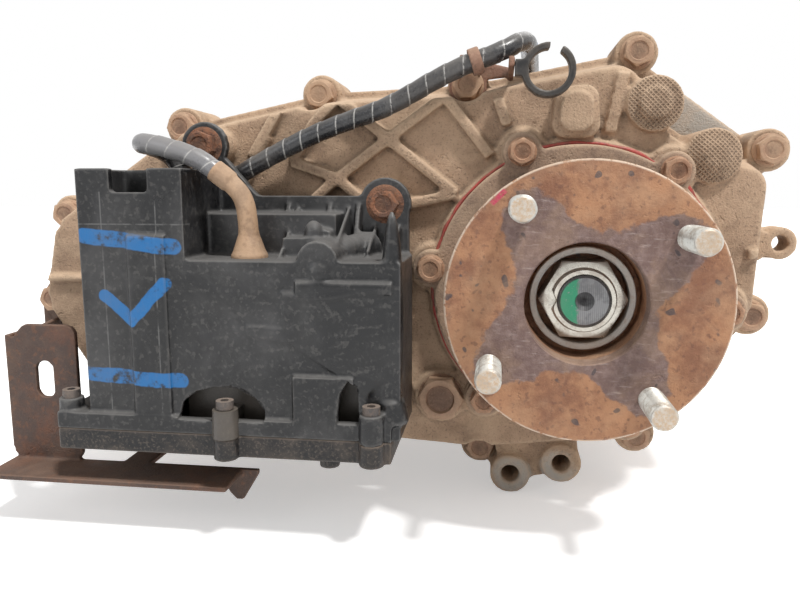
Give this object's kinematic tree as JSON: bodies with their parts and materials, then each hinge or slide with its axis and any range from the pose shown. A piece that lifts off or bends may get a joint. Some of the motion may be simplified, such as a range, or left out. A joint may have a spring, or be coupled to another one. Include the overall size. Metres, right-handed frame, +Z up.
{
  "type": "transfer case",
  "caption": "Two-speed part-time transfer case: ribbed split casting, offset chain-driven front output, companion flanges, and a bolted-on electric shift actuator with its harness.",
  "frame": {"origin": "centre of the rear companion flange's mating face, on the main shaft's axis", "axes": "+Z up, +Y along the main shaft from the rear output towards the gearbox, +X to the right seen from behind"},
  "size_m": [0.4484, 0.33, 0.2589],
  "materials": {
    "cast": "dusty as-cast",
    "retainer_cast": "dusty as-cast",
    "sealant": "matte",
    "zinc_steel": "zinc plated",
    "bolt_steel": "dusty, rusting",
    "flange_steel": "surface rust",
    "machined_steel": "oiled",
    "carrier_steel": "oiled",
    "fork_alloy": "as-cast",
    "seal_rubber": "dusty",
    "connector_green": "satin",
    "housing_plastic": "dusty satin",
    "gear_plastic": "satin",
    "motor_can": "satin",
    "board": "satin",
    "guard_steel": "heavy surface rust",
    "loom_plastic": "satin"
  },
  "bodies": {
    "case": {"rear_case": "cast", "front_case": "cast", "rear_retainer": "retainer_cast", "retainer_gasket": "sealant", "case_bolts": "bolt_steel", "retainer_bolts": "bolt_steel", "dowel_pins": "bolt_steel", "oil_plugs": "bolt_steel", "rear_oil_seal": "seal_rubber", "rear_bearing": "machined_steel", "ring_gear": "machined_steel", "input_oil_seal": "seal_rubber", "input_bearing": "machined_steel", "input_snap_ring": "machined_steel", "front_oil_seal": "seal_rubber", "front_bearing": "machined_steel", "front_snap_ring": "machined_steel", "front_needle_bearing": "machined_steel", "drive_chain": "machined_steel", "shift_rail": "machined_steel", "actuator_housing": "housing_plastic", "actuator_cover": "housing_plastic", "actuator_screws": "bolt_steel", "actuator_bolts": "bolt_steel", "actuator_motor": "motor_can", "circuit_board": "board", "connector_seal": "connector_green", "guard_plate": "guard_steel", "harness_loom": "loom_plastic", "harness_boot": "seal_rubber", "clip_bracket": "guard_steel", "harness_clip": "loom_plastic", "position_switch": "loom_plastic"},
    "rear_output": {"main_shaft": "machined_steel", "rear_flange": "flange_steel", "rear_studs": "zinc_steel", "rear_nut": "zinc_steel", "rear_bearing_inner": "machined_steel"},
    "mode_sleeve": {"mode_sleeve": "machined_steel"},
    "range_sleeve": {"range_sleeve": "machined_steel"},
    "drive_sprocket": {"drive_sprocket": "machined_steel"},
    "input": {"input_shaft": "machined_steel", "input_bearing_inner": "machined_steel"},
    "carrier": {"planet_carrier": "carrier_steel"},
    "planet_1": {"planet_gear_1": "machined_steel"},
    "planet_2": {"planet_gear_2": "machined_steel"},
    "planet_3": {"planet_gear_3": "machined_steel"},
    "front_output": {"front_output_shaft": "machined_steel", "driven_sprocket": "machined_steel", "front_flange": "flange_steel", "front_studs": "zinc_steel", "front_nut": "zinc_steel", "front_bearing_inner": "machined_steel"},
    "shift_drum": {"shift_drum": "machined_steel", "output_wheel": "gear_plastic"},
    "mode_fork": {"mode_fork": "fork_alloy"},
    "range_fork": {"range_fork": "fork_alloy"},
    "idler_gear": {"idler_gear": "gear_plastic"},
    "motor_pinion": {"motor_pinion": "gear_plastic"}
  },
  "joints": [
    {"name": "rear_output_spin", "type": "hinge", "parent": "case", "child": "rear_output", "pos_m": [0, 0.076, 0], "axis": [0, 1, 0], "continuous": true},
    {"name": "input_spin", "type": "hinge", "parent": "case", "child": "input", "pos_m": [0, 0.258, 0], "axis": [0, 1, 0], "continuous": true},
    {"name": "carrier_spin", "type": "hinge", "parent": "case", "child": "carrier", "pos_m": [0, 0.221, 0], "axis": [0, 1, 0], "continuous": true},
    {"name": "planet_1_spin", "type": "hinge", "parent": "carrier", "child": "planet_1", "pos_m": [0.0444, 0.223, 0], "axis": [0, 1, 0], "continuous": true},
    {"name": "planet_2_spin", "type": "hinge", "parent": "carrier", "child": "planet_2", "pos_m": [-0.0222, 0.223, 0.03845], "axis": [0, 1, 0], "continuous": true},
    {"name": "planet_3_spin", "type": "hinge", "parent": "carrier", "child": "planet_3", "pos_m": [-0.0222, 0.223, -0.03845], "axis": [0, 1, 0], "continuous": true},
    {"name": "front_output_spin", "type": "hinge", "parent": "case", "child": "front_output", "pos_m": [-0.21114, 0.169, 0], "axis": [0, 1, 0], "continuous": true},
    {"name": "drive_sprocket_spin", "type": "hinge", "parent": "case", "child": "drive_sprocket", "pos_m": [0, 0.11, 0], "axis": [0, 1, 0], "continuous": true},
    {"name": "shift_drum_turn", "type": "hinge", "parent": "case", "child": "shift_drum", "pos_m": [-0.118, 0.15, -0.012], "axis": [0, 1, 0], "range_deg": [0, 100]},
    {"name": "idler_gear_turn", "type": "hinge", "parent": "case", "child": "idler_gear", "pos_m": [-0.144, 0.024, -0.027], "axis": [0, 1, 0], "range_deg": [-400, 0]},
    {"name": "motor_pinion_turn", "type": "hinge", "parent": "case", "child": "motor_pinion", "pos_m": [-0.168, 0.021, -0.027], "axis": [0, 1, 0], "range_deg": [0, 1200]},
    {"name": "mode_fork_slide", "type": "slide", "parent": "case", "child": "mode_fork", "axis": [0, 1, 0], "range_m": [-0.01, 0]},
    {"name": "mode_sleeve_slide", "type": "slide", "parent": "rear_output", "child": "mode_sleeve", "axis": [0, 1, 0], "range_m": [-0.01, 0]},
    {"name": "range_fork_slide", "type": "slide", "parent": "case", "child": "range_fork", "axis": [0, 1, 0], "range_m": [-0.014, 0]},
    {"name": "range_sleeve_slide", "type": "slide", "parent": "rear_output", "child": "range_sleeve", "axis": [0, 1, 0], "range_m": [-0.014, 0]}
  ],
  "couplings": [
    {"joint": "input_spin", "follows": "rear_output_spin", "ratio": 1},
    {"joint": "carrier_spin", "follows": "rear_output_spin", "ratio": 0.375},
    {"joint": "planet_1_spin", "follows": "rear_output_spin", "ratio": -1.875},
    {"joint": "planet_2_spin", "follows": "rear_output_spin", "ratio": -1.875},
    {"joint": "planet_3_spin", "follows": "rear_output_spin", "ratio": -1.875},
    {"joint": "drive_sprocket_spin", "follows": "front_output_spin", "ratio": 1},
    {"joint": "idler_gear_turn", "follows": "shift_drum_turn", "ratio": -4},
    {"joint": "motor_pinion_turn", "follows": "shift_drum_turn", "ratio": 12},
    {"joint": "mode_fork_slide", "follows": "shift_drum_turn", "m_per_rad": -0.0057296},
    {"joint": "mode_sleeve_slide", "follows": "shift_drum_turn", "m_per_rad": -0.0057296},
    {"joint": "range_sleeve_slide", "follows": "range_fork_slide", "ratio": 1}
  ]
}
